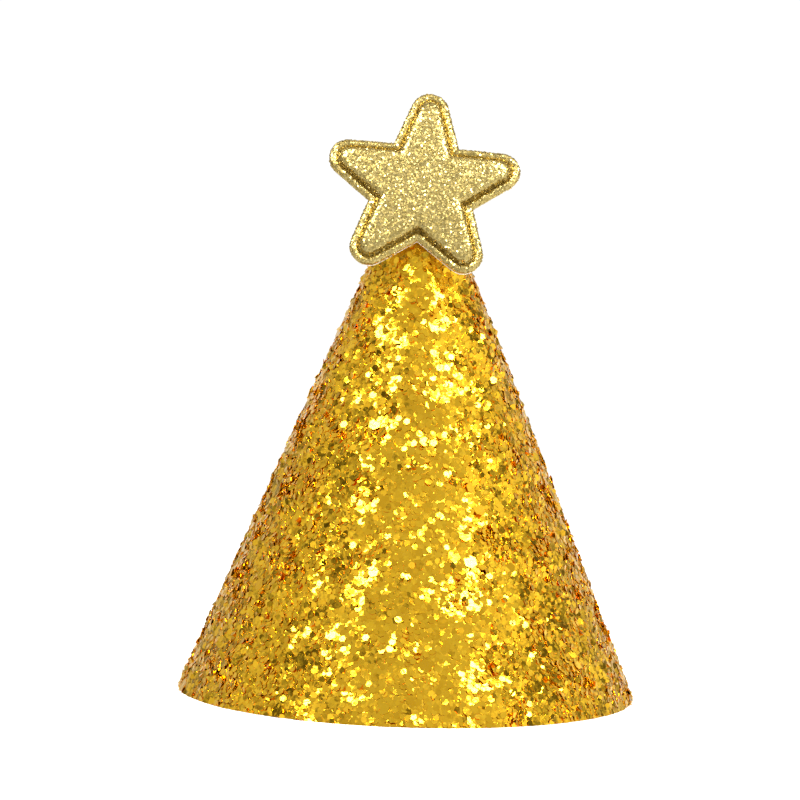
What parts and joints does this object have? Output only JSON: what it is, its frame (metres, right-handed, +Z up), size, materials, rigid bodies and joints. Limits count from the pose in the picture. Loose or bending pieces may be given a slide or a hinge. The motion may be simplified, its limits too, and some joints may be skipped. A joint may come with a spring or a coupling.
{
  "type": "party hat",
  "caption": "Mini cone party hat in chunky gold glitter fabric, with a padded glitter star at the front of its tip and an open base.",
  "frame": {"origin": "middle of the rim, on the surface that the hat stands on", "axes": "+Z up along the cone's axis to its tip; the front, with the star, faces -Y and the seam is at the back, +Y"},
  "size_m": [0.076, 0.0771, 0.1002],
  "materials": {
    "glitter_fabric": "chunky gold glitter flakes on a woven backing",
    "star_glitter_fabric": "fine pale gold glitter",
    "card": "matt white card",
    "tape": "double-sided tape",
    "hot_glue": "cloudy hot-melt glue",
    "foam": "soft sponge foam",
    "felt": "pressed felt",
    "ribbon": "ribbed grosgrain ribbon"
  },
  "bodies": {
    "root": {"glitter_cover": "glitter_fabric", "cover_seam_tape": "tape", "card_cone": "card", "card_seam_tape": "tape", "tip_glue": "hot_glue", "star_front": "star_glitter_fabric", "star_padding": "foam", "star_back": "felt", "star_glue": "hot_glue", "cord_loop_right": "ribbon", "cord_loop_left": "ribbon", "loop_patch_right": "felt", "loop_patch_left": "felt"}
  },
  "joints": []
}
